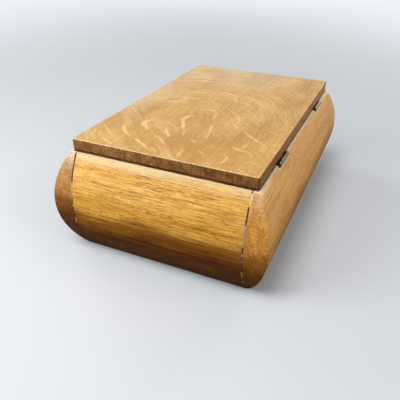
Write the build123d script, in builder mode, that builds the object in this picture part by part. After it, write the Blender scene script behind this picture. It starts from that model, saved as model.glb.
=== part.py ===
"""Recipe card box in solid oak: four bulged boards, a bottom, and a lid on two butt hinges.

Millimetres. X runs along the box, Y from front to back, Z up.
The origin is the middle of the underside, which stands on the table.
"""

from build123d import *
import os

# --- Box: inside, and the section of the bulged boards ------------------------
inner_length = 240.0  # inside, along X
inner_depth = 144.0  # inside, along Y
body_height = 88.6  # table to rim
stock_thickness = 18.5  # a bulged board at its fullest
bulge_height = 46.5  # height of the fullest point
rim_width = 5.5  # width of a board's top edge
foot_width = 2.4  # width of a board's bottom edge
ridge_radius = 1.2  # sanding of the four curved corner ridges
rim_radius = 0.8  # sanding of the rim's outer edge
foot_radius = 0.8  # sanding of the foot's outer edge
joint_groove = 0.3  # worn arris down each glued corner joint
bottom_thickness = 6.0

# --- Lid ----------------------------------------------------------------------
lid_thickness = 9.2
lid_setback = 1.5  # ledge of rim that shows all round the lid
lid_corner_radius = 1.6
lid_top_radius = 1.1
lid_under_radius = 0.4

# --- Butt hinges --------------------------------------------------------------
hinge_spacing = 134.8  # between the middles of the two hinges
hinge_length = 25.4
leaf_width = 5.6  # from the pin's axis to the leaf's free edge
leaf_thickness = 1.1
leaf_gap = 0.4  # between the closed leaves
leaf_corner_radius = 0.6
barrel_radius = 1.8
knuckle_gap = 0.1  # between neighbouring knuckles
pin_radius = 0.87
pin_clearance = 0.03  # round the pin, in the knuckles
pin_chamfer = 0.15
barrel_clearance = 0.2  # from the barrel to the lid's back edge and to the other leaf
notch_clearance = 0.3  # round the hinge in its notch in the rim

# --- Countersunk slotted screws -----------------------------------------------
screw_spacing = 15.0  # between the two screws of a leaf
screw_length = 6.35
screw_radius = 0.75
screw_tip_length = 1.6
screw_point_radius = 0.1  # blunt end of the tip
screw_head_radius = 1.4
screw_clearance = 0.02  # round the screw, in the leaf and in the wood
slot_width = 0.4
slot_depth = 0.35
pilot_extra_depth = 0.6  # pilot hole beyond the screw's tip

# --- Worked out from the sizes above ------------------------------------------
outer_length = inner_length + 2 * stock_thickness
outer_depth = inner_depth + 2 * stock_thickness
lid_length = inner_length + 2 * (rim_width - lid_setback)
lid_depth = inner_depth + 2 * (rim_width - lid_setback)
leaf_reach = leaf_thickness + leaf_gap / 2  # from the pin's axis to a leaf's outer face
lid_underside = body_height + leaf_reach
axis_y = lid_depth / 2 + barrel_clearance + barrel_radius
axis_z = body_height
knuckle_length = (hinge_length - 2 * knuckle_gap) / 3
knuckle_pitch = knuckle_length + knuckle_gap
tab_width = barrel_radius + barrel_clearance  # from the flat of a leaf to the pin's axis
flat_width = leaf_width - tab_width
flat_y = axis_y - leaf_width + flat_width / 2
notch_length = hinge_length + 2 * notch_clearance
groove_depth = barrel_radius + notch_clearance  # room for the barrel below the rim
hinge_x = {"left": -hinge_spacing / 2, "right": hinge_spacing / 2}
screw_x = {"left": -screw_spacing / 2, "right": screw_spacing / 2}
head_side = {"box": 1, "lid": -1}  # which way a leaf's screw heads face, up or down
knuckles = {"box": (-1, 1), "lid": (0,)}  # places of a leaf's knuckles along the barrel


def save(piece, name):
    """Label a finished piece and write it under its own name."""
    piece.label = name
    export_step(piece, f"parts/{name}.step")


def bulged_outline(half_inside):
    """Closed outline of the body across one direction: rim, two bulged flanks and foot."""
    rim = half_inside + rim_width
    belly = half_inside + stock_thickness
    foot = half_inside + foot_width
    with BuildLine() as outline:
        Line((-rim, body_height), (rim, body_height))
        ThreePointArc((rim, body_height), (belly, bulge_height), (foot, 0))
        Line((foot, 0), (-foot, 0))
        ThreePointArc((-foot, 0), (-belly, bulge_height), (-rim, body_height))
    return outline.line


def screw_plane(side, screw, leaf):
    """Plane on the head of one hinge screw, with its z direction out of the head."""
    up = head_side[leaf]
    head = (hinge_x[side] + screw_x[screw], flat_y, axis_z - up * leaf_gap / 2)
    return Plane(origin=head, x_dir=(1, 0, 0), z_dir=(0, 0, up))


def leaf_screw_planes(leaf):
    """Head planes of all the screws that hold one kind of leaf."""
    return [screw_plane(side, screw, leaf) for side in hinge_x for screw in screw_x]


def hinge_leaf(side, leaf):
    """One leaf with its knuckles, countersunk for two screws."""
    up = head_side[leaf]
    middle = hinge_x[side]
    low_face = axis_z - leaf_reach if up > 0 else axis_z + leaf_gap / 2
    with BuildPart() as plate:
        with BuildSketch(Plane.XY.offset(low_face)) as outline:
            with Locations((middle, flat_y)):
                Rectangle(hinge_length, flat_width)
            fillet(outline.vertices().group_by(Axis.Y)[0], leaf_corner_radius)
            with Locations([(middle + place * knuckle_pitch, axis_y) for place in knuckles[leaf]]):
                Rectangle(knuckle_length, tab_width, align=(Align.CENTER, Align.MAX))
        extrude(amount=leaf_thickness)
        for place in knuckles[leaf]:
            with BuildSketch(Plane.YZ.offset(middle + place * knuckle_pitch)):
                with Locations((axis_y, axis_z)):
                    Circle(barrel_radius)
            extrude(amount=knuckle_length / 2, both=True)
        with BuildSketch(Plane.YZ.offset(middle)):
            with Locations((axis_y, axis_z)):
                Circle(pin_radius + pin_clearance)
        extrude(amount=hinge_length / 2, both=True, mode=Mode.SUBTRACT)
        with Locations([screw_plane(side, screw, leaf) for screw in screw_x]):
            CounterSinkHole(
                screw_radius + screw_clearance,
                screw_head_radius + screw_clearance,
                depth=leaf_thickness,
                counter_sink_angle=90,
            )
    return plate.part


def hinge_pin(side):
    """The pin that the three knuckles turn on."""
    with BuildPart() as pin:
        with BuildSketch(Plane.YZ.offset(hinge_x[side])):
            with Locations((axis_y, axis_z)):
                Circle(pin_radius)
        extrude(amount=hinge_length / 2, both=True)
        chamfer(pin.edges().filter_by(GeomType.CIRCLE), pin_chamfer)
    return pin.part


def hinge_screw(head):
    """One countersunk slotted screw, its head flush with the leaf."""
    shank_top = screw_radius - screw_head_radius  # a 90 degree cone is as deep as it narrows
    across = Plane(origin=head.origin, x_dir=head.x_dir, z_dir=head.x_dir.cross(head.z_dir))
    with BuildPart() as screw:
        with BuildSketch(across):
            with BuildLine():
                Polyline(
                    (0, 0),
                    (screw_head_radius, 0),
                    (screw_radius, shank_top),
                    (screw_radius, screw_tip_length - screw_length),
                    (screw_point_radius, -screw_length),
                    (0, -screw_length),
                    close=True,
                )
            make_face()
        revolve(axis=Axis(head.origin, head.z_dir))
        with BuildSketch(head):
            Rectangle(2 * screw_head_radius, slot_width)
        extrude(amount=-slot_depth, mode=Mode.SUBTRACT)
    return screw.part


os.makedirs("parts", exist_ok=True)

# --- Outside shape that the glued boards are sanded to ------------------------
with BuildPart() as body_form:
    with BuildSketch(Plane.YZ):
        add(bulged_outline(inner_depth / 2))
        make_face()
    extrude(amount=outer_length, both=True)
    with BuildSketch(Plane.XZ):
        add(bulged_outline(inner_length / 2))
        make_face()
    extrude(amount=outer_depth, both=True, mode=Mode.INTERSECT)
    levels = body_form.edges().group_by(Axis.Z)
    fillet(body_form.edges() - levels[0] - levels[-1], ridge_radius)
    fillet(body_form.edges().group_by(Axis.Z)[-1], rim_radius)
    fillet(body_form.edges().group_by(Axis.Z)[0], foot_radius)

# --- Long boards, with their end grain showing at both ends -------------------
with BuildPart() as front_board:
    add(body_form.part)
    with BuildSketch():
        with Locations((0, -outer_depth / 2)):
            Rectangle(2 * outer_length, 2 * stock_thickness)
    extrude(amount=body_height, mode=Mode.INTERSECT)
save(front_board.part, "front_board")

with BuildPart() as back_board:
    add(body_form.part)
    with BuildSketch():
        with Locations((0, outer_depth / 2)):
            Rectangle(2 * outer_length, 2 * stock_thickness)
    extrude(amount=body_height, mode=Mode.INTERSECT)
    with BuildSketch(Plane.XY.offset(body_height)):
        with Locations([(x, inner_depth / 2) for x in hinge_x.values()]):
            Rectangle(notch_length, stock_thickness, align=(Align.CENTER, Align.MIN))
    extrude(amount=-leaf_reach, mode=Mode.SUBTRACT)
    with BuildSketch(Plane.XY.offset(body_height)):
        with Locations([(x, axis_y - groove_depth) for x in hinge_x.values()]):
            Rectangle(notch_length, stock_thickness, align=(Align.CENTER, Align.MIN))
    extrude(amount=-groove_depth, mode=Mode.SUBTRACT)
    with Locations(leaf_screw_planes("box")):
        Hole(screw_radius + screw_clearance, depth=screw_length + pilot_extra_depth)
save(back_board.part, "back_board")

# --- End panels, set between the long boards ----------------------------------
for name, panel_x in (("left_end_panel", -outer_length / 2), ("right_end_panel", outer_length / 2)):
    with BuildPart() as end_panel:
        add(body_form.part)
        with BuildSketch():
            with Locations((panel_x, 0)):
                Rectangle(2 * stock_thickness, inner_depth)
        extrude(amount=body_height, mode=Mode.INTERSECT)
        joint_faces = end_panel.faces().filter_by(Axis.Y)
        chamfer(joint_faces.edges().filter_by(GeomType.CIRCLE), joint_groove)
    save(end_panel.part, name)

# --- Bottom, glued in between the four boards ---------------------------------
with BuildPart() as bottom_board:
    with BuildSketch():
        Rectangle(inner_length, inner_depth)
    extrude(amount=bottom_thickness)
save(bottom_board.part, "bottom_board")

# --- Lid ----------------------------------------------------------------------
with BuildPart() as lid_board:
    with BuildSketch(Plane.XY.offset(lid_underside)):
        RectangleRounded(lid_length, lid_depth, lid_corner_radius)
    extrude(amount=lid_thickness)
    fillet(lid_board.edges().group_by(Axis.Z)[-1], lid_top_radius)
    fillet(lid_board.edges().group_by(Axis.Z)[0], lid_under_radius)
    with Locations(leaf_screw_planes("lid")):
        Hole(screw_radius + screw_clearance, depth=screw_length + pilot_extra_depth)
save(lid_board.part, "lid_board")

# --- Hinges, with their pins and screws ---------------------------------------
for side in hinge_x:
    save(hinge_pin(side), f"{side}_hinge_pin")
    for leaf in head_side:
        save(hinge_leaf(side, leaf), f"{side}_hinge_{leaf}_leaf")
        for screw in screw_x:
            head_plane = screw_plane(side, screw, leaf)
            save(hinge_screw(head_plane), f"{side}_hinge_{leaf}_screw_{screw}")

print("outside", outer_length, outer_depth, lid_underside + lid_thickness)
print("lid", lid_length, lid_depth, "hinge axis", axis_y, axis_z)
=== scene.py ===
"""Looks of the oak recipe card box: boards, lid, hinges, glue lines, camera and studio.

Blender units are metres in the part's own frame: X along the box, Y to the hinges, Z up.
Finishes are written in millimetres: places on the box in that frame, with heights from the
table, and sizes of the figure on a board's own axes, along the grain, across it and up.
"""

import math
import random

import bmesh
import bpy
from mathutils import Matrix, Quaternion, Vector


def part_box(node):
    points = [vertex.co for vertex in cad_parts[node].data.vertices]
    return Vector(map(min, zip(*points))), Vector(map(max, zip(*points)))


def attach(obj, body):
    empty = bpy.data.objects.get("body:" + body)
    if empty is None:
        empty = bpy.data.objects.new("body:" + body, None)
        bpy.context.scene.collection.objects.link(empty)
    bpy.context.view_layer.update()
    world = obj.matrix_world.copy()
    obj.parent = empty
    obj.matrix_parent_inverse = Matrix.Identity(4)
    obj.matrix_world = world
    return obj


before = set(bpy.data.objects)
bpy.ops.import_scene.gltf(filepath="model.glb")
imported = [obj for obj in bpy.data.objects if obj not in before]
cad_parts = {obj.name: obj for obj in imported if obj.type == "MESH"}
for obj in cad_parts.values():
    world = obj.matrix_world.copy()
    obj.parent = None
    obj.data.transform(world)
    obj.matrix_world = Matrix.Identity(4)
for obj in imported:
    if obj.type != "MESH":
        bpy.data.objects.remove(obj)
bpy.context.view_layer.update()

MM = 0.001


def box_mm(node):
    """Lowest and highest corner of a CAD node, in millimetres."""
    return [[round(value / MM, 2) for value in corner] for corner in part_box(node)]


# Places on the box, from the CAD (mm).
end_low, end_high = box_mm("right_end_panel")
leaf_low, leaf_high = box_mm("right_hinge_box_leaf")
lid_low, lid_high = box_mm("lid_board")
INSIDE_X = end_low[0]  # inner face of an end panel
BELLY_X = end_high[0]  # its outer face, where it bulges most
JOINT_Y = end_high[1]  # glue line between a long board and an end panel
RIM = end_high[2]
HINGE_X = (leaf_low[0] + leaf_high[0]) / 2  # middle of each hinge
HINGE_HALF = leaf_high[0] - HINGE_X  # half its length
LID_UNDERSIDE = lid_low[2]
LID_EDGE_X, LID_EDGE_Y, LID_FACE = lid_high
LID_SHOULDER = LID_FACE - 1.3  # the round of the lid's top edge lies above this

# --- Camera -------------------------------------------------------------------
CAMERA_PLACE = Vector((381.6, 141.9, 240.0)) * MM
LOOK_DIRECTION = Vector((-0.7886, -0.3334, -0.5167))
CAMERA_ROLL = math.radians(1.17)
SENSOR_WIDTH = 36.0  # mm
LENS = 40.5  # mm
NEAREST_SEEN = 0.01  # m


def add_camera():
    """Camera that looks down along the box, from above its near right corner."""
    data = bpy.data.cameras.new("camera")
    data.sensor_width = SENSOR_WIDTH
    data.lens = LENS
    data.clip_start = NEAREST_SEEN
    camera = bpy.data.objects.new("camera", data)
    bpy.context.scene.collection.objects.link(camera)
    camera.location = CAMERA_PLACE
    aim = LOOK_DIRECTION.to_track_quat("-Z", "Y")
    camera.rotation_mode = "QUATERNION"
    camera.rotation_quaternion = aim @ Quaternion((0, 0, 1), CAMERA_ROLL)
    bpy.context.scene.camera = camera


add_camera()


# --- Mixing a finish ----------------------------------------------------------
class Finish:
    """A material being mixed: lay adds to its colour, and most methods give a new node's output."""

    def __init__(self, name):
        self.material = bpy.data.materials.new(name)
        self.material.use_nodes = True
        self.tree = self.material.node_tree
        self.tree.nodes.clear()
        self.output = self.tree.nodes.new("ShaderNodeOutputMaterial")
        self.colour = None

    def node(self, kind, inputs=None, **settings):
        made = self.tree.nodes.new(kind)
        for key, value in settings.items():
            setattr(made, key, value)
        for key, value in (inputs or {}).items():
            self.feed(made.inputs[key], value)
        return made

    def feed(self, socket, value):
        """Link a socket to another output, or set it to a constant."""
        if isinstance(value, bpy.types.NodeSocket):
            self.tree.links.new(value, socket)
        else:
            socket.default_value = value

    # Places and directions.
    def place(self):
        """Place on the box, in millimetres."""
        where = self.node("ShaderNodeTexCoord").outputs["Object"]
        return self.placed(where, scale=(1 / MM, 1 / MM, 1 / MM))

    def facing(self):
        """How squarely the surface faces along X, Y and Z, each from 0 to 1."""
        normal = self.node("ShaderNodeTexCoord").outputs["Normal"]
        return self.split(self.vector_math("ABSOLUTE", normal))

    def placed(self, vector, scale=(1, 1, 1), turn=(0, 0, 0), move=(0, 0, 0), kind="POINT"):
        """Vector scaled, turned and moved; of kind TEXTURE, undone by as much, last step first."""
        made = self.node("ShaderNodeMapping", {"Vector": vector}, vector_type=kind)
        made.inputs["Scale"].default_value = scale
        made.inputs["Rotation"].default_value = turn
        made.inputs["Location"].default_value = move
        return made.outputs[0]

    def split(self, vector):
        made = self.node("ShaderNodeSeparateXYZ", {"Vector": vector})
        return made.outputs[0], made.outputs[1], made.outputs[2]

    def join(self, x, y, z):
        return self.node("ShaderNodeCombineXYZ", {"X": x, "Y": y, "Z": z}).outputs[0]

    # Sums.
    def math(self, operation, a, b=0.0):
        return self.node("ShaderNodeMath", {0: a, 1: b}, operation=operation).outputs[0]

    def vector_math(self, operation, *vectors):
        made = self.node("ShaderNodeVectorMath", dict(enumerate(vectors)), operation=operation)
        return made.outputs["Value" if operation == "LENGTH" else "Vector"]

    def times(self, *values):
        product = values[0]
        for value in values[1:]:
            product = self.math("MULTIPLY", product, value)
        return product

    def add(self, *values):
        total = values[0]
        for value in values[1:]:
            total = self.math("ADD", total, value)
        return total

    def step(self, value, low, high, start=0.0, end=1.0):
        """Soft step of a value, from start at low to end at high."""
        made = self.node("ShaderNodeMapRange", interpolation_type="SMOOTHSTEP")
        names = ("Value", "From Min", "From Max", "To Min", "To Max")
        for key, given in zip(names, (value, low, high, start, end)):
            self.feed(made.inputs[key], given)
        return made.outputs[0]

    # Noise.
    def noise_node(self, vector, size, detail, roughness):
        """Noise whose spots are as large as size says along each axis."""
        lanes = self.placed(vector, scale=tuple(1 / length for length in size))
        return self.node(
            "ShaderNodeTexNoise",
            {"Vector": lanes, "Scale": 1.0, "Detail": detail, "Roughness": roughness},
        )

    def noise(self, vector, size, detail=2.0, roughness=0.5):
        return self.noise_node(vector, size, detail, roughness).outputs["Fac"]

    def swayed(self, vector, size, sway):
        """Vector pushed about, by sway at most along each axis."""
        colour = self.noise_node(vector, size, 1.0, 0.5).outputs["Color"]
        twice = tuple(2 * length for length in sway)
        back = tuple(-length for length in sway)
        push = self.vector_math("MULTIPLY_ADD", colour, twice, back)
        return self.vector_math("ADD", vector, push)

    # Colour.
    def mix(self, share, a, b, blend="MIX"):
        made = self.node("ShaderNodeMix", data_type="RGBA", blend_type=blend)
        for socket, value in ((0, share), (6, a), (7, b)):  # a Mix node's sockets for colour
            self.feed(made.inputs[socket], value)
        return made.outputs[2]

    def lay(self, share, colour, blend="MIX"):
        """Lay another colour over the finish so far."""
        self.colour = self.mix(share, self.colour, colour, blend)

    def shaded(self, colour, amount):
        """Colour made darker or lighter by a number round 1."""
        made = self.node("ShaderNodeVectorMath", {0: colour, "Scale": amount}, operation="SCALE")
        return made.outputs[0]

    def browned(self, colour, amount):
        """Colour shaded by a number round 1, and warmer the darker it gets."""
        red = self.math("POWER", amount, 0.7)
        blue = self.math("POWER", amount, 1.7)
        return self.vector_math("MULTIPLY", colour, self.join(red, amount, blue))

    def surface(self, roughness, height, coat=0.0, **constants):
        """Principled surface of the colour laid, with its height in millimetres."""
        inputs = {"Base Color": self.colour, "Roughness": roughness, "Coat Weight": coat}
        shader = self.node("ShaderNodeBsdfPrincipled", inputs)
        for key, value in constants.items():
            shader.inputs[key.replace("_", " ")].default_value = value
        bump = self.node("ShaderNodeBump", {"Height": height, "Distance": MM})
        self.tree.links.new(bump.outputs[0], shader.inputs["Normal"])
        self.tree.links.new(shader.outputs[0], self.output.inputs[0])


def tone(red, green, blue):
    """Linear colour of a paint-chart colour from 0 to 255."""
    chart = [value / 255 for value in (red, green, blue)]
    linear = [v / 12.92 if v <= 0.04045 else ((v + 0.055) / 1.055) ** 2.4 for v in chart]
    return (*linear, 1.0)


def dress(node, finish):
    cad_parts[node].material_slots[0].material = finish.material


# --- Oak of any board ---------------------------------------------------------
ALONG_X = (0, 0, 0)
ALONG_Y = (0, 0, math.radians(90))  # turns a board's grain from X to Y

PORE = tone(122, 60, 8)
LONG_PORE = tone(168, 92, 22)
STREAK = tone(112, 66, 20)
# Dark of dirt in cracks, also laid as painted shade under the lid's edge.
DIRT_AND_SHADE = tone(44, 25, 12)
# Pale of bare, rubbed wood, also laid as a painted highlight and sheen.
PALE_WEAR_AND_SHEEN = tone(244, 222, 176)

# Sizes of the figure along the grain, across it and up (mm).
LONG_WAVES = (160.0, 40.0, 40.0)
SHORT_WAVES = (50.0, 12.0, 12.0)
FIBRES = (26.0, 0.5, 0.5)
STREAKS = (60.0, 1.7, 1.7)
CLOUDS = (50.0, 22.0, 22.0)
MOTTLE = (7.0, 3.0, 3.0)
PORE_CLUMPS = (40.0, 4.5, 4.5)
PORE_DASHES = (6.0, 0.40, 0.40)
PORE_SPECKS = (3.0, 0.36, 0.36)
LONG_PORES = (16.0, 0.8, 0.8)
SAND = (6.0, 0.7, 0.7)
SMUDGES = (9.0, 6.0, 9.0)
CRUMBS = (1.6, 1.6, 1.6)

LONG_SWAY = (0.0, 3.0, 3.0)  # of the growth rings in the long waves
SHORT_SWAY = (0.0, 0.4, 0.4)
PORE_ROW_HALF = 0.6  # half the height of a row of pores
PORE_ROW_FADE = 8.0
STREAK_SWAY = 0.8  # of a dark streak, up and down
STREAK_FADE = 12.0


class Oak(Finish):
    """Oak under old satin varnish, laid in order: wood, end grain, figure, pores and wear; on some
    boards the figure and wear also hold painted light and shade.
    """

    # How the board was sawn (mm).
    grain_turn = ALONG_X
    slide = 0.0  # of its figure, along the grain
    heart = (40.0, 260.0)  # from the heart of the tree to the board's axis
    ring = 2.6  # from one growth ring to the next

    # Its colours: bands, spring wood and end grain.
    light = (238, 184, 92)
    middle = (226, 166, 74)
    dark = (184, 122, 46)
    end_light = (214, 158, 84)
    end_dark = (184, 126, 60)

    # Its figure, and how strongly each part of that shows.
    band_size = (110.0, 6.0, 6.0)
    hair_size = (18.0, 0.5, 0.5)
    ring_share = 0.22
    hair_share = 1.0
    streak_share = 1.0
    pore_share = 0.65
    long_share = 0.6
    pore_start = 0.75  # level of the noise at which a pore opens
    pore_rows = ()
    dark_streaks = ()

    gloss = 0.2
    polish = 0.0  # share of a glossier coat on a face that looks up

    def __init__(self, name):
        super().__init__(name)
        self.find_place()
        self.find_rings()
        self.find_figure()
        self.find_pores()
        self.lay_wood()
        self.lay_end_grain()
        self.lay_figure()
        self.lay_pores()
        self.rough = self.add(
            self.step(self.fibres, 0.2, 0.8, 0.40, 0.54), self.times(self.pores, 0.25)
        )
        self.lay_wear()
        self.varnish()

    def find_place(self):
        """Where a point lies on the box and on the board, and which way its surface faces."""
        self.box_place = self.place()
        self.x, self.y, self.high = self.split(self.vector_math("ABSOLUTE", self.box_place))
        self.signed_x, self.signed_y, _ = self.split(self.box_place)
        self.board_place = self.placed(
            self.box_place, turn=self.grain_turn, move=(self.slide, 0, 0)
        )
        self.face_x, self.face_y, self.face_up = self.facing()
        self.face_along = self.face_y if self.grain_turn == ALONG_Y else self.face_x
        self.end = self.step(self.face_along, 0.5, 0.8)

    def find_rings(self):
        """Growth rings lie round the heart of the tree and wander a little along the board."""
        waved = self.swayed(self.board_place, LONG_WAVES, LONG_SWAY)
        self.grain_place = self.swayed(waved, SHORT_WAVES, SHORT_SWAY)
        from_heart = self.placed(self.grain_place, scale=(0, 1, 1), move=(0, *self.heart))
        out = self.vector_math("LENGTH", from_heart)
        uneven = self.noise(self.join(out, 0.0, 0.0), (2.5 * self.ring, 1.0, 1.0), 1.0)
        count = self.add(self.math("DIVIDE", out, self.ring), self.times(uneven, 1.6))
        phase = self.math("FRACT", count)
        self.spring_wood = self.times(self.step(phase, 0.0, 0.15), self.step(phase, 0.65, 0.30))

    def find_figure(self):
        """Fibres, streaks and clouds run along the grain; smudges and crumbs are dirt."""
        self.fibres = self.noise(self.grain_place, FIBRES, 2.0, 0.6)
        self.streaks = self.noise(self.grain_place, STREAKS, 3.0, 0.6)
        self.clouds = self.noise(self.board_place, CLOUDS, 2.0)
        self.smudges = self.noise(self.board_place, SMUDGES, 3.0, 0.6)
        self.crumbs = self.noise(self.box_place, CRUMBS, 3.0, 0.65)

    def find_pores(self):
        """Open pores crowd in spring wood, in clumps and in a board's own rows."""
        clumps = self.step(self.noise(self.grain_place, PORE_CLUMPS, 2.0), 0.35, 0.65)
        crowd = self.add(self.times(self.spring_wood, 0.05), self.times(clumps, 0.10))
        self.in_row = 0.0
        for level, start, end in self.pore_rows:
            row = self.stretch(self.high, level, start, end, PORE_ROW_HALF, PORE_ROW_FADE)
            self.in_row = self.math("MAXIMUM", self.in_row, row)
        crowd = self.math("MAXIMUM", crowd, self.times(self.in_row, 0.17))

        opening = self.pore_start
        dashes = self.add(self.noise(self.board_place, PORE_DASHES, 0.0), crowd)
        specks = self.add(self.noise(self.board_place, PORE_SPECKS, 0.0), crowd)
        self.pores = self.math(
            "MAXIMUM",
            self.step(dashes, opening, opening + 0.09),
            self.step(specks, opening + 0.02, opening + 0.11, 0.0, 0.8),
        )
        lines = self.add(self.noise(self.board_place, LONG_PORES, 1.0), crowd)
        self.long_pores = self.step(lines, 0.66, 0.82)

    def stretch(self, high, level, start, end, half, fade):
        """1 on a thin level stretch across the box, fading out past its ends."""
        off = self.math("ABSOLUTE", self.math("SUBTRACT", high, level))
        return self.times(
            self.step(off, half * 1.5, half * 0.4),
            self.step(self.signed_y, start - fade, start + fade),
            self.step(self.signed_y, end + fade, end - fade),
        )

    def ripple(self, noise, fall, rise):
        """Shade round 1 that falls and rises with a noise."""
        return self.step(noise, 0.25, 0.75, 1.0 - fall, 1.0 + rise)

    def lay_wood(self):
        """Broad bands, spring wood and dark streaks, shaded by all the finer figure."""
        bands = self.noise(self.grain_place, self.band_size, 2.0)
        hairs = self.noise(self.board_place, self.hair_size, 1.0, 0.5)
        mottle = self.noise(self.board_place, MOTTLE, 3.0, 0.6)
        self.colour = self.mix(self.step(bands, 0.32, 0.68), tone(*self.middle), tone(*self.light))
        self.lay(self.times(self.spring_wood, self.ring_share), tone(*self.dark))
        for level, start, end, half, strength in self.dark_streaks:
            wavy = self.add(self.high, self.step(self.streaks, 0.3, 0.7, -STREAK_SWAY, STREAK_SWAY))
            streak = self.stretch(wavy, level, start, end, half, STREAK_FADE)
            self.lay(self.times(streak, strength), STREAK)
        shade = self.times(
            self.ripple(self.fibres, 0.09 * self.streak_share, 0.08 * self.streak_share),
            self.ripple(hairs, 0.13 * self.hair_share, 0.15 * self.hair_share),
            self.ripple(self.streaks, 0.10 * self.streak_share, 0.06 * self.streak_share),
            self.step(self.clouds, 0.3, 0.7, 0.93, 1.05),
            self.step(mottle, 0.3, 0.7, 0.94, 1.05),
        )
        self.colour = self.browned(self.colour, shade)

    def lay_end_grain(self):
        """End grain drinks more varnish: darker, with specks in place of lines."""
        sand = self.noise(self.board_place, SAND, 2.0, 0.7)
        dark = tone(*self.end_dark)
        cut = self.mix(self.step(sand, 0.25, 0.75), dark, tone(*self.end_light))
        cut = self.mix(self.times(self.spring_wood, 0.2), cut, dark)
        shade = self.times(
            self.step(self.smudges, 0.3, 0.7, 0.80, 1.14), self.step(sand, 0.3, 0.7, 0.78, 1.20)
        )
        self.lay(self.end, self.browned(cut, shade))

    def lay_figure(self):
        """What a board has under its pores, such as rays, and on the lid painted sheen and shade:
        nothing on most boards.
        """

    def lay_pores(self):
        """Pores show less on end grain; short ones show more in a row."""
        share = self.add(self.pore_share, self.times(self.in_row, 0.25))
        self.lay(self.times(self.pores, self.step(self.end, 0.0, 1.0, share, 0.5)), PORE)
        share = self.long_share * self.pore_share
        self.lay(self.times(self.long_pores, self.step(self.end, 0.0, 1.0, share, 0.2)), LONG_PORE)

    def lay_wear(self):
        """What a board has over its pores, such as dirt, wear and painted light and shade: nothing
        on a hidden board.
        """

    def varnish(self):
        height = self.math("SUBTRACT", self.times(self.fibres, 0.03), self.times(self.pores, 0.10))
        coat = self.times(self.step(self.face_up, 0.90, 0.99), self.polish) if self.polish else 0.0
        self.surface(
            self.rough, height, coat, Specular_IOR_Level=self.gloss, Coat_Roughness=0.35
        )


# --- Oak of the four bulged boards --------------------------------------------
# Painted shade of the undercut foot, with some dirt: a warm tint, then an upper and a lower darker
# step.
AMBER = tone(255, 248, 216)
FOOT_SHADE_AND_DIRT = tone(178, 153, 98)
LOW_SHADE_AND_DIRT = tone(166, 151, 92)
RIM_OAK = tone(176, 126, 64)
# Painted sheen on the upper end grain.
PALE_END_SHEEN = tone(226, 196, 160)
WIPES = (34.0, 2.6, 2.6)  # size of a wiped streak at the foot (mm)


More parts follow.
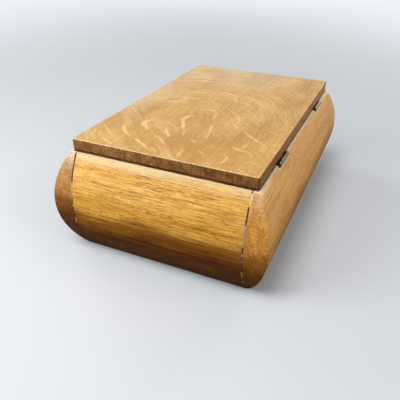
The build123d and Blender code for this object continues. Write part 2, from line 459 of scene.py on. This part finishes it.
class BodyOak(Oak):
    """Oak of a bulged board: painted shade and dirt at the foot, dirt in the joints, worn at the
    rim and ridges, with a painted highlight and sheen below the rim and painted shade under the
    lid's edge.
    """

    foot = 1.0  # strength of the painted shade and dirt at the foot
    end_foot = 1.0  # and of that on the end grain
    foot_top = 46.0  # height of its ragged edge (mm)
    end_drop = 0.0  # how much lower that edge is on the end grain (mm)
    rim_worn = 0.55  # how bare the rim is beyond the lid
    end_sheen_share = 0.5  # share of the painted sheen on the end grain towards the rim

    def lay_wear(self):
        past_walls = self.math(
            "MAXIMUM",
            self.math("SUBTRACT", self.x, INSIDE_X),
            self.math("SUBTRACT", self.y, JOINT_Y),
        )
        self.outside = self.step(past_walls, 0.2, 0.8)
        self.foot_shade_and_dirt()
        self.rim_wear_shade_and_sheen()
        self.dirty_joints()
        self.worn_ridges()

    def foot_shade_and_dirt(self):
        """Painted shade of the undercut half, with some dirt: warmer below the belly, darker in two
        ragged steps, darkest at the very bottom.
        """
        ragged = self.add(
            self.high,
            self.step(self.streaks, 0.3, 0.7, -2.5, 2.5),
            self.step(self.clouds, 0.3, 0.7, -3.0, 3.0),
            self.step(self.signed_y, -JOINT_Y, JOINT_Y, 0.0, -4.0),
            self.step(self.end, 0.0, 1.0, 0.0, self.end_drop),
        )
        top = self.foot_top
        foot = self.times(self.step(self.end, 0.0, 1.0, self.foot, self.end_foot), self.outside)
        amber = self.times(self.step(self.high, 74.0, 55.0), self.outside)
        upper = self.times(self.step(ragged, top, top - 8.0), foot)
        lower = self.times(self.step(ragged, top - 12.0, top - 22.0), foot)
        self.lay(amber, AMBER, "MULTIPLY")
        self.lay(upper, FOOT_SHADE_AND_DIRT, "MULTIPLY")
        self.lay(lower, LOW_SHADE_AND_DIRT, "MULTIPLY")
        # painted shade, darkest in the last few millimetres above the floor
        ground = self.times(self.step(self.high, 17.0, 4.0), foot)
        self.colour = self.shaded(self.colour, self.step(ground, 0.0, 1.0, 1.0, 0.62))
        wipes = self.step(self.noise(self.grain_place, WIPES, 2.0), 0.52, 0.70)
        wiped = self.times(lower, wipes)
        self.colour = self.shaded(self.colour, self.step(wiped, 0.0, 1.0, 1.0, 1.55))
        dull = self.step(self.high, top + 4.0, top - 20.0, 0.0, 0.35)
        self.rough = self.add(self.rough, self.times(dull, self.outside))

    def rim_wear_shade_and_sheen(self):
        """Dust and old wax lie on the rim up to the edge of the lid, with painted shade there;
        beyond, it is rubbed bare. Below the rim and on the end grain lie a painted highlight and
        sheen.
        """
        rim = self.times(
            self.step(self.face_up, 0.55, 0.85), self.step(self.high, RIM - 8.6, RIM - 4.6)
        )
        past_lid = self.math(
            "MAXIMUM",
            self.math("SUBTRACT", self.x, LID_EDGE_X),
            self.math("SUBTRACT", self.y, LID_EDGE_Y),
        )
        bare_line = self.add(past_lid, self.times(self.crumbs, 0.5))
        dust_line = self.add(past_lid, self.times(self.crumbs, 1.6))
        dust_and_shade = self.times(
            rim, self.step(bare_line, 0.5, 0.1), self.step(dust_line, -2.6, 0.2)
        )
        # painted sheen on the end grain, paler towards the rim
        sheen_on_end = self.times(
            self.end,
            self.step(self.add(self.high, self.times(self.smudges, 16.0)), RIM - 8.6, RIM + 7.4),
            self.step(self.crumbs, 0.35, 0.6, 0.6, 1.0),
        )
        flank = self.step(self.end, 1.0, 0.0)
        self.lay(self.times(self.pale_shoulder(), flank, self.outside), PALE_WEAR_AND_SHEEN)
        self.lay(self.times(sheen_on_end, self.end_sheen_share), PALE_END_SHEEN)
        self.lay(self.times(rim, 0.5), RIM_OAK)
        self.lay(self.times(rim, self.step(bare_line, -1.0, 0.4), self.rim_worn), PALE_WEAR_AND_SHEEN)
        # dust with painted shade under the lid's edge
        self.lay(self.times(dust_and_shade, self.step(self.smudges, 0.35, 0.65, 0.65, 0.95)), DIRT_AND_SHADE)
        self.rough = self.add(self.rough, self.times(dust_and_shade, 0.4))

    def dirty_joints(self):
        beside = self.math("ABSOLUTE", self.math("SUBTRACT", self.y, JOINT_Y))
        seam = self.times(
            self.step(beside, 0.9, 0.15), self.step(self.x, INSIDE_X - 0.5, INSIDE_X)
        )
        self.lay(self.times(seam, self.step(self.crumbs, 0.3, 0.6, 0.35, 0.9)), DIRT_AND_SHADE)

    def worn_ridges(self):
        """Chips down the four ridges, where the surface faces between X and Y."""
        ridge = self.step(self.times(self.face_x, self.face_y), 0.10, 0.36)
        chips = self.step(self.crumbs, 0.62, 0.70)
        self.lay(self.times(ridge, chips, 0.7), PALE_WEAR_AND_SHEEN)


class EndPanelOak(BodyOak):
    """Oak of an end panel, with its grain across the box."""

    grain_turn = ALONG_Y

    def pale_shoulder(self):
        """Painted highlight on the flank below the rim, with some rubbed wear, less towards the
        hinges.
        """
        ragged_y = self.add(self.signed_y, self.times(self.crumbs, 8.0))
        # painted highlight, stronger towards the front
        worn = self.step(ragged_y, 50.0, -10.0, 0.36, 0.56)
        return self.times(self.step(self.high, RIM - 8.1, RIM - 1.6), worn)


class LongBoardOak(BodyOak):
    """Oak of a long board, with its grain along the box."""

    def pale_shoulder(self):
        """Where hands have rubbed the flank below the rim, more towards the ends."""
        ragged_x = self.add(self.x, self.times(self.crumbs, 20.0))
        worn = self.step(ragged_x, 100.0, 130.0, 0.10, 0.75)
        return self.times(self.step(self.high, RIM - 4.6, RIM - 1.2), worn)


class NearEndOak(EndPanelOak):
    """Figured board: its pores stand in rows, with long dark streaks."""

    light = (237, 182, 90)
    middle = (229, 170, 78)
    hair_size = (24.0, 0.8, 0.8)
    ring_share = 0.10
    hair_share = 2.1
    streak_share = 0.35
    pore_share = 0.55
    long_share = 0.5
    pore_start = 0.71
    # Rows where pores crowd: height, start and end along Y (mm).
    pore_rows = (
        (83.0, -22, 34), (79.2, -14, 2), (79.0, 18, 52), (76.0, -30, 12), (73.5, 8, 40),
        (70.6, -62, 0), (68.4, -38, 10), (65.0, 30, 62), (60.2, -50, -8), (58.0, -12, 34),
        (55.5, 28, 72), (50.0, -30, -4), (44.5, -42, -10), (36.0, -20, 44), (28.6, -12, 62),
    )
    # Height, start and end along Y, half thickness (mm) and strength.
    dark_streaks = (
        (70.2, -46, -4, 0.7, 0.22), (56.4, 26, 78, 0.9, 0.35), (44.6, -46, 24, 1.0, 0.05),
        (37.0, -8, 60, 1.2, 0.40), (28.4, -20, 64, 1.2, 0.50), (22.0, -56, 0, 1.2, 0.5),
    )

    def foot_shade_and_dirt(self):
        """Painted light on a paler band above the foot, strongest towards the front."""
        painted_light_band = self.times(
            self.step(self.high, 53.0, 62.0),
            self.step(self.high, 82.0, 73.0),
            self.step(self.signed_y, 60.0, -60.0, 0.3, 1.0),
            self.outside,
        )
        # painted light on the upper belly, brighter towards the front
        self.colour = self.shaded(self.colour, self.add(self.times(painted_light_band, 0.17), 1.0))
        self.lay(self.times(painted_light_band, 0.11), PALE_WEAR_AND_SHEEN)
        super().foot_shade_and_dirt()


class FarEndOak(EndPanelOak):
    slide = 370.0
    heart = (60.0, 240.0)


class BackOak(LongBoardOak):
    """Plain board with the hinge notches in its rim."""

    slide = 40.0
    heart = (-60.0, 120.0)
    light = (232, 176, 100)
    middle = (224, 160, 86)
    end_light = (246, 188, 104)
    end_dark = (209, 143, 64)
    ring_share = 0.08
    streak_share = 0.4
    pore_share = 0.16
    pore_start = 0.66
    foot = 0.5
    end_foot = 0.8
    foot_top = 53.0
    end_drop = 7.0
    rim_worn = 0.85
    gloss = 0.15

    def rim_wear_shade_and_sheen(self):
        """Bare wood where the notches were cut, and on the rim just beside them."""
        super().rim_wear_shade_and_sheen()
        off = self.math("ABSOLUTE", self.math("SUBTRACT", self.x, HINGE_X))
        beside = self.times(
            self.step(off, HINGE_HALF + 2.1, HINGE_HALF + 0.9),
            self.step(self.high, RIM - 4.2, RIM - 2.8),
            self.outside,
        )
        self.lay(self.times(beside, self.step(self.crumbs, 0.35, 0.6, 0.45, 0.95)), PALE_WEAR_AND_SHEEN)


class FrontOak(LongBoardOak):
    slide = -80.0
    heart = (90.0, -140.0)
    end_light = (216, 164, 103)
    end_dark = (176, 122, 68)
    pore_share = 0.45
    foot = 0.9
    end_foot = 0.9
    foot_top = 56.0
    rim_worn = 0.7
    end_sheen_share = 1.0


# --- Oak of the lid and the bottom --------------------------------------------
BRUISE = tone(222, 176, 104)
FLECK_GOLD = tone(240, 201, 124)
VEIN_GOLD = tone(226, 189, 122)
EDGE_DIRT = tone(210, 174, 110)
# Painted sheen of the pale air, on the far end and front edge of the lid.
PAINTED_SHEEN = tone(226, 210, 184)

# Bold flecks on the lid: start, middle and end (x, y in mm), half width (mm) and strength.
RAY_FLECKS = (
    ((77, -56), (91, -49), (100, -37), 1.7, 1.0),
    ((85, -72), (97, -61), (106, -50), 1.5, 0.7),
    ((112, -57), (116, -49), (121, -40), 1.4, 0.8),
    ((58, -38), (70, -42), (78, -37), 3.2, 1.0),
    ((72, -40), (78, -36), (84, -32), 1.6, 0.9),
    ((72, -20), (81, -16), (90, -8), 2.0, 1.0),
    ((34, -10), (44, -16), (53, -15), 2.4, 0.9),
    ((48, -16), (60, -11), (73, -4), 2.1, 1.0),
    ((68, -6), (76, -3), (84, 0), 1.4, 0.6),
    ((102, -35), (108, -23), (118, -12), 1.6, 1.0),
    ((91, -21), (96, -13), (107, -2), 1.4, 0.7),
    ((46, 11), (62, 14), (79, 19), 1.3, 0.7),
    ((68, 15), (75, 17), (80, 20), 1.5, 0.5),
    ((84, 40), (88, 48), (89, 55), 1.5, 0.9),
    ((74, 52), (81, 50), (88, 54), 1.2, 0.5),
    ((40, 27), (45, 31), (49, 36), 1.4, 0.8),
    ((49, 36), (62, 51), (78, 70), 1.1, 0.75),
    ((99, 39), (108, 46), (119, 40), 1.7, 0.6),
    ((23, -13), (17, -4), (22, 5), 2.3, 0.6),
    ((22, 4), (34, 7), (44, 11), 1.5, 0.5),
    ((15, 18), (27, 27), (38, 31), 1.5, 0.5),
    ((41, 58), (46, 64), (50, 71), 1.0, 0.6),
    ((106, 11), (113, 11), (121, 13), 1.5, 0.6),
    ((101, 21), (104, 25), (107, 30), 1.1, 0.5),
    ((98, -72), (105, -68), (113, -66), 1.3, 0.5),
    ((84, 8), (88, 11), (91, 15), 1.4, 0.5),
    ((110, 58), (104, 64), (108, 71), 1.4, 0.4),
    ((-52, 6), (-50, 12), (-44, 17), 1.8, 0.45),
    ((-26, 2), (-18, 8), (-8, 12), 1.5, 0.35),
    ((-8, -12), (0, -6), (10, -2), 1.6, 0.4),
    ((5, 7), (15, 18), (26, 28), 1.0, 0.5),
    ((-6, 16), (3, 27), (14, 38), 0.9, 0.45),
    ((-22, 30), (-12, 42), (2, 52), 0.9, 0.35),
)
VEIN_CENTRE = (60.0, -20.0)  # point on the lid that the far veins bow round (mm)
VEIN_BOW = 1.25  # how much longer a bow is along the lid than across it
VEIN_SLANT = math.radians(-45)  # of the near veins


class LidOak(Oak):
    """Quarter-sawn oak, with rays on its face and worn edges."""

    heart = (420.0, -60.0)
    ring = 3.4
    light = (204, 157, 78)
    middle = (191, 141, 68)
    dark = (169, 119, 62)
    end_light = (196, 142, 80)
    end_dark = (120, 78, 38)
    band_size = (50.0, 30.0, 30.0)
    ring_share = 0.08
    streak_share = 0.3
    pore_share = 0.22
    pore_start = 0.66
    gloss = 0.15
    polish = 0.3

    def lay_figure(self):
        self.ends_wear_and_shade()
        edge = self.step(self.high, LID_SHOULDER - 5.0, LID_SHOULDER, 0.35, 1.0)
        self.flat = self.times(self.face_up, self.face_up, edge)
        self.fine_veins()
        self.bold_flecks()
        self.painted_sheen_places()
        self.dirty_edges()
        self.blotched_shaded_edges()

    def ends_wear_and_shade(self):
        """End grain with painted shade towards the hinges, bruised under the top edge, and pale on
        the arris: wear with a painted highlight.
        """
        end = self.step(self.face_along, 0.3, 0.7)
        # painted shade, darker towards the hinges, over random smudges
        shade = self.times(
            self.step(self.signed_y, -LID_EDGE_Y, LID_EDGE_Y, 1.0, 0.74),
            self.step(self.smudges, 0.3, 0.7, 0.72, 1.16),
        )
        bruises = self.times(
            self.step(self.high, LID_FACE - 5.8, LID_FACE - 1.3),
            self.step(self.crumbs, 0.58, 0.68),
            0.6,
        )
        self.lay(end, self.mix(bruises, self.shaded(self.colour, shade), BRUISE))
        # wear, with a painted highlight along the arris
        arris = self.times(
            self.step(self.high, LID_FACE - 0.65, LID_FACE - 0.3),
            self.step(self.face_along, 0.15, 0.45),
            self.step(self.crumbs, 0.3, 0.55, 0.25, 0.8),
        )
        self.lay(arris, PALE_WEAR_AND_SHEEN)
        # painted shade on the underside at the lid's edge
        painted_shade_underneath = self.times(
            self.step(self.high, LID_UNDERSIDE + 1.3, LID_UNDERSIDE + 0.3),
            self.step(self.face_up, 0.9, 0.5),
        )
        self.lay(self.times(painted_shade_underneath, 0.9), DIRT_AND_SHADE)

    def fine_veins(self):
        """Thin rays, bowed round one point on the lid's far half and slantwise on its near half."""
        wide = self.swayed(self.box_place, (30.0, 26.0, 200.0), (7.0, 7.0, 0.0))
        centre_x, centre_y = VEIN_CENTRE
        bowed = self.placed(
            wide, move=(-centre_x, -VEIN_BOW * centre_y, 0), scale=(1, VEIN_BOW, 0)
        )
        from_x, from_y, _ = self.split(bowed)
        round_turn = self.math("ARCTAN2", from_y, self.times(from_x, -1.0))
        rings = self.join(self.vector_math("LENGTH", bowed), self.times(round_turn, 70.0), 0.0)
        slanted = self.placed(wide, turn=(0, 0, VEIN_SLANT))
        far = self.step(from_x, -25.0, -55.0)
        far_middle = self.times(far, self.step(from_y, 105.0, 60.0, 0.3, 1.0))
        near = self.step(from_x, -55.0, -25.0)
        patchy = self.step(self.noise(self.box_place, (38.0, 30.0, 60.0), 1.0), 0.34, 0.60)
        for vector, size, low, top, share, where in (
            (rings, (1.6, 30.0, 1.0), 0.45, 0.59, 0.85, far_middle),
            (rings, (7.0, 60.0, 1.0), 0.40, 0.72, 0.35, far),
            (slanted, (40.0, 2.4, 60.0), 0.48, 0.66, 0.36, near),
            (slanted, (60.0, 6.0, 90.0), 0.42, 0.72, 0.35, near),
        ):
            veins = self.step(self.noise(vector, size, 1.0), low, top)
            self.lay(self.times(veins, self.flat, patchy, where, share), VEIN_GOLD)

    def bold_flecks(self):
        """Golden flecks, each an ellipse bent along its own chord."""
        bent = self.swayed(self.box_place, (9.0, 9.0, 200.0), (1.3, 1.3, 0.0))
        strongest = 0.0
        for start, middle, end, half_width, strength in RAY_FLECKS:
            start, middle, end = Vector(start), Vector(middle), Vector(end)
            chord = end - start
            turn = math.atan2(chord.y, chord.x)
            bow = ((start + end) / 2 - middle).dot(Vector((-math.sin(turn), math.cos(turn))))
            fleck = self.placed(
                bent, (chord.length / 2, half_width, 1), (0, 0, turn), (*middle, 0), "TEXTURE"
            )
            along, aside, _ = self.split(fleck)
            squared = self.times(along, along)
            aside = self.math("SUBTRACT", aside, self.times(squared, bow / half_width))
            reach = self.add(squared, self.times(aside, aside))
            shape = self.step(reach, 1.15, 0.15, 0.0, strength)
            strongest = self.math("MAXIMUM", strongest, shape)
        on_face = self.step(self.high, LID_SHOULDER, LID_SHOULDER + 0.5)
        self.lay(self.times(strongest, on_face, 0.8), FLECK_GOLD)

    def painted_sheen_places(self):
        """Painted sheen of the pale air on the far end, and on a strip along the front edge."""
        off_centre = self.math("ABSOLUTE", self.add(self.signed_y, 25.0))
        far_end = self.times(
            self.step(self.signed_x, -20.0, -130.0), self.step(off_centre, 95.0, 20.0), 0.38
        )
        front_strip = self.times(
            self.step(self.signed_y, -42.0, -LID_EDGE_Y), self.step(self.signed_x, 85.0, 30.0), 0.25
        )
        self.lay(self.times(self.math("MAXIMUM", far_end, front_strip), self.flat), PAINTED_SHEEN)

    def dirty_edges(self):
        """Fingers and dust have darkened the round of the two long edges."""
        edge = self.step(self.high, LID_FACE - 0.02, LID_FACE - 0.4)
        dirt = self.times(edge, self.step(self.face_y, 0.05, 0.5))
        self.lay(dirt, EDGE_DIRT, "MULTIPLY")

    def blotched_shaded_edges(self):
        """The two long edges are blotchy, with painted shade on their upper part under the round,
        and lighter towards the far end.
        """
        painted_shade_under_round = self.times(
            self.step(self.face_y, 0.2, 0.4),
            self.step(self.high, LID_SHOULDER - 4.5, LID_SHOULDER - 1.0),
        )
        blotches = self.noise(self.box_place, (22.0, 8.0, 5.0), 3.0, 0.6)
        shade = self.times(
            self.step(blotches, 0.3, 0.7, 0.72, 1.25),
            self.step(self.signed_x, 100.0, -30.0, 0.83, 1.28),
            self.step(painted_shade_under_round, 0.0, 1.0, 1.0, 0.72),
        )
        self.lay(self.step(self.face_y, 0.3, 0.7), self.shaded(self.colour, shade))


class BottomOak(Oak):
    slide = 300.0
    heart = (0.0, 200.0)


dress("right_end_panel", NearEndOak("near_end_panel_oak"))
dress("left_end_panel", FarEndOak("far_end_panel_oak"))
dress("back_board", BackOak("back_board_oak"))
dress("front_board", FrontOak("front_board_oak"))
dress("lid_board", LidOak("lid_oak"))
dress("bottom_board", BottomOak("bottom_oak"))


# --- Glue lines ---------------------------------------------------------------
RIM_WIDTH = 5.5  # width of an end panel's top edge (mm)
FOOT_WIDTH = 2.4  # width of its bottom edge
BELLY_HEIGHT = 46.5  # height of its fullest point

GLUE_BOTTOM = 3.0  # heights of a bead's ends (mm)
GLUE_TOP = RIM - 1.0
GLUE_HALF = 0.5  # half its width, and how far in it reaches (mm)
GLUE_PROUD = 0.12  # how far out (mm)
GLUE_STEPS = 60
WEDGE_BOTTOM = RIM - 9.6  # height from which a bead may widen (mm)
WEDGE_HEIGHT = 8.0
WEDGE_PANEL_SHARE = 0.35  # of its widening, on the side of the end panel
RAGGED_WIDTH = (0.7, 1.25)  # least and most of its width
RAGGED_SHIFT = 0.12  # most that it strays to either side (mm)

GLUE_CRUMBS = (1.4, 1.4, 1.4)
CRACK_BROWN = tone(84, 54, 28)
GLUE_CREAM = tone(224, 204, 160)
GLUE_GREY = tone(186, 172, 140)
GLUE_YELLOW = tone(214, 180, 112)
GLUE_PINK = tone(206, 160, 122)

# Stretches of glue or putty in the dirt of a joint: bottom and top (mm), colour, cover.
FRONT_STRETCHES = (
    (55.0, 67.0, GLUE_YELLOW, 0.75),
    (46.0, 55.0, GLUE_YELLOW, 0.35),
    (30.0, 35.0, GLUE_CREAM, 0.45),
)
BACK_STRETCHES = (
    (79.5, 88.0, GLUE_CREAM, 0.95),
    (50.0, 67.0, GLUE_GREY, 0.6),
    (42.5, 44.5, GLUE_CREAM, 0.7),
    (36.5, 39.5, GLUE_PINK, 0.6),
    (20.0, 26.0, GLUE_CREAM, 0.5),
    (11.0, 13.0, GLUE_CREAM, 0.5),
)


def circle_through(first, second, third):
    """Middle and radius of the circle through three points, to a hundredth."""
    a, b = second - first, third - first
    away = Vector((
        b.y * a.length_squared - a.y * b.length_squared,
        a.x * b.length_squared - b.x * a.length_squared,
    ))
    middle = first + away / (2 * a.cross(b))
    return round(middle.x, 2), round(middle.y, 2), round((first - middle).length, 2)


# Arc of an end panel's outside: from the middle of the box along X, and up (mm).
ARC_MIDDLE_X, ARC_MIDDLE_Z, ARC_RADIUS = circle_through(
    Vector((INSIDE_X + RIM_WIDTH, RIM)),
    Vector((BELLY_X, BELLY_HEIGHT)),
    Vector((INSIDE_X + FOOT_WIDTH, 0.0)),
)


class OldGlue(Finish):
    """Crack filled with dirt, and in stretches with old glue and putty."""

    def __init__(self, name, stretches):
        super().__init__(name)
        place = self.place()
        _, _, high = self.split(place)
        crumbs = self.noise(place, GLUE_CRUMBS, 3.0, 0.65)
        self.colour = self.mix(self.step(crumbs, 0.4, 0.6), DIRT_AND_SHADE, CRACK_BROWN)
        for bottom, top, colour, cover in stretches:
            inside = self.times(
                self.step(high, bottom - 1.0, bottom + 1.0), self.step(high, top + 1.0, top - 1.0)
            )
            patches = self.step(crumbs, 0.62 - 0.4 * cover, 0.70 - 0.4 * cover)
            self.lay(self.times(inside, patches), colour)
        self.surface(0.75, self.times(crumbs, 0.08), Specular_IOR_Level=0.3)


def spun_bead(side_x, middle):
    """Bead of even width that follows the bulge, closed at both ends."""
    low_turn = math.asin((GLUE_BOTTOM - ARC_MIDDLE_Z) / ARC_RADIUS)
    high_turn = math.asin((GLUE_TOP - ARC_MIDDLE_Z) / ARC_RADIUS)
    inner = (ARC_RADIUS - GLUE_HALF) * MM
    outer = (ARC_RADIUS + GLUE_PROUD) * MM
    half = GLUE_HALF * MM
    form = bmesh.new()
    corners = []
    for reach, off in ((inner, -half), (outer, -half), (outer, half), (inner, half)):
        ray = Vector((side_x * math.cos(low_turn) * reach, off, math.sin(low_turn) * reach))
        corners.append(form.verts.new(middle + ray))
    section = form.faces.new(corners)
    bmesh.ops.spin(
        form, geom=[section, *section.edges, *section.verts], cent=middle, axis=(0, 1, 0),
        angle=-side_x * (high_turn - low_turn), steps=GLUE_STEPS,
        use_merge=False, use_duplicate=False,
    )
    bmesh.ops.holes_fill(form, edges=form.edges, sides=4)
    return form


def make_ragged(form, chance, side_y, middle, wedge):
    """Vary a bead's width from height to height, and widen its top towards the corner."""
    width = {}
    for vertex in form.verts:
        height = round(vertex.co.z / MM, 1)
        if height not in width:
            wide = chance.uniform(*RAGGED_WIDTH)
            width[height] = (wide, chance.uniform(-RAGGED_SHIFT, RAGGED_SHIFT))
        wide, aside = width[height]
        rise = (vertex.co.z / MM - WEDGE_BOTTOM) / WEDGE_HEIGHT
        spread = max(0.0, min(1.0, rise)) * wedge
        off = (vertex.co.y - middle.y) / MM
        off = off * wide + aside
        off += side_y * (spread if off * side_y > 0 else WEDGE_PANEL_SHARE * spread)
        vertex.co.y = middle.y + off * MM


def add_glue_line(name, side_x, side_y, wedge, finish):
    """Thin bead down one corner joint; wedge is how far its top widens (mm)."""
    middle = Vector((side_x * ARC_MIDDLE_X, side_y * JOINT_Y, ARC_MIDDLE_Z)) * MM
    form = spun_bead(side_x, middle)
    make_ragged(form, random.Random(name), side_y, middle, wedge)
    bmesh.ops.recalc_face_normals(form, faces=form.faces)
    mesh = bpy.data.meshes.new(name)
    form.to_mesh(mesh)
    form.free()
    mesh.materials.append(finish.material)
    bead = bpy.data.objects.new(name, mesh)
    bpy.context.scene.collection.objects.link(bead)
    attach(bead, "box")


front_glue = OldGlue("front_joint_glue", FRONT_STRETCHES)
back_glue = OldGlue("back_joint_glue", BACK_STRETCHES)
for side_x, end_name in ((-1, "left"), (1, "right")):
    add_glue_line(f"front_{end_name}_glue_line", side_x, -1, 0.0, front_glue)
    add_glue_line(f"back_{end_name}_glue_line", side_x, 1, 0.8, back_glue)


# --- Hinges and screws --------------------------------------------------------
class TarnishedBrass(Finish):
    def __init__(self, name):
        super().__init__(name)
        place = self.place()
        patches = self.noise(place, (2.2, 2.2, 2.2), 4.0, 0.6)
        scratches = self.noise(place, (0.25, 5.0, 5.0), 2.0)
        self.colour = self.mix(self.step(patches, 0.28, 0.74), tone(26, 20, 11), tone(106, 88, 52))
        rough = self.step(patches, 0.3, 0.7, 0.5, 0.28)
        self.surface(rough, self.times(scratches, 0.01), Metallic=1.0)


class DullSteel(Finish):
    def __init__(self, name):
        super().__init__(name)
        patches = self.noise(self.place(), (1.2, 1.2, 1.2), 4.0, 0.6)
        pitted = self.step(patches, 0.35, 0.65)
        self.colour = self.mix(pitted, tone(110, 104, 92), tone(168, 162, 148))
        rough = self.step(patches, 0.3, 0.7, 0.5, 0.32)
        self.surface(rough, self.times(patches, 0.01), Metallic=1.0)


brass = TarnishedBrass("tarnished_brass")
steel = DullSteel("dull_screw_steel")
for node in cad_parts:
    if "hinge" in node:
        dress(node, steel if "screw" in node else brass)


# --- Studio -------------------------------------------------------------------
FLOOR_HALF = 6.0  # half the width of the floor (m)
FLOOR_SEEN = tone(206, 209, 213)
FLOOR_BOUNCE = (0.07, 0.066, 0.06, 1.0)
HAZE_START, HAZE_END = 300.0, 1700.0  # from the box, where the floor fades into the air (mm)
AIR_COLOUR = (0.86, 0.91, 0.96, 1.0)
AIR_LIGHT = 0.2
AIR_SEEN = 1.0
BOX_MIDDLE = Vector((0, 0, 0.05))
# Soft boxes: name, direction from the box, distance and width (m), level.
LAMPS = (
    ("overhead", (0.42, -0.12, 0.90), 1.5, 0.7, 0.60),
    ("window", (0.66, -0.55, 0.48), 0.75, 0.4, 0.50),
    ("hinge_side", (0.08, 0.92, 0.42), 1.5, 1.0, 0.38),
    ("front_side", (-0.35, -0.90, 0.36), 1.5, 0.7, 0.26),
    ("far_end", (-0.93, 0.30, 0.36), 1.5, 0.7, 0.24),
)


def seen_rays(tree):
    """1 for rays from the camera, and for those from metal, varnish or glass."""
    path = tree.nodes.new("ShaderNodeLightPath")
    seen = path.outputs["Is Camera Ray"]
    for ray in ("Is Glossy Ray", "Is Transmission Ray"):
        either = tree.nodes.new("ShaderNodeMath")
        either.operation = "MAXIMUM"
        tree.links.new(seen, either.inputs[0])
        tree.links.new(path.outputs[ray], either.inputs[1])
        seen = either.outputs[0]
    return seen


class PaleFloor(Finish):
    """Floor that looks pale, throws little light back, and fades into the air."""

    def __init__(self, name):
        super().__init__(name)
        looked_at = seen_rays(self.tree)
        colour = self.mix(looked_at, FLOOR_BOUNCE, FLOOR_SEEN)
        lit = self.node("ShaderNodeBsdfDiffuse", {"Color": colour})
        haze = self.node("ShaderNodeEmission", {"Color": AIR_COLOUR, "Strength": AIR_SEEN})
        distance = self.vector_math("LENGTH", self.place())
        far = self.times(self.step(distance, HAZE_START, HAZE_END), looked_at)
        blend = self.node("ShaderNodeMixShader", {0: far, 1: lit.outputs[0], 2: haze.outputs[0]})
        self.tree.links.new(blend.outputs[0], self.output.inputs[0])


def add_floor():
    form = bmesh.new()
    bmesh.ops.create_grid(form, x_segments=1, y_segments=1, size=FLOOR_HALF)
    mesh = bpy.data.meshes.new("floor")
    form.to_mesh(mesh)
    form.free()
    mesh.materials.append(PaleFloor("pale_floor").material)
    floor = bpy.data.objects.new("floor", mesh)
    bpy.context.scene.collection.objects.link(floor)


def add_lamp(name, direction, distance, width, level):
    """Soft box that lights a white card facing it to the given level."""
    data = bpy.data.lights.new(name, "AREA")
    data.shape = "SQUARE"
    data.size = width
    data.energy = math.pi ** 2 * distance ** 2 * level
    lamp = bpy.data.objects.new(name, data)
    bpy.context.scene.collection.objects.link(lamp)
    towards = Vector(direction).normalized()
    lamp.location = BOX_MIDDLE + towards * distance
    lamp.rotation_mode = "QUATERNION"
    lamp.rotation_quaternion = (-towards).to_track_quat("-Z", "Y")
    lamp.visible_camera = False


def add_air():
    """Dim air that lights the box from all round, and shows pale in its varnish."""
    world = bpy.data.worlds.new("studio_air")
    bpy.context.scene.world = world
    world.use_nodes = True
    tree = world.node_tree
    background = tree.nodes["Background"]
    background.inputs["Color"].default_value = AIR_COLOUR
    strength = tree.nodes.new("ShaderNodeMapRange")
    strength.inputs["To Min"].default_value = AIR_LIGHT
    strength.inputs["To Max"].default_value = AIR_SEEN
    tree.links.new(seen_rays(tree), strength.inputs["Value"])
    tree.links.new(strength.outputs[0], background.inputs["Strength"])


add_floor()
for lamp in LAMPS:
    add_lamp(*lamp)
add_air()
bpy.context.scene.view_settings.view_transform = "Standard"
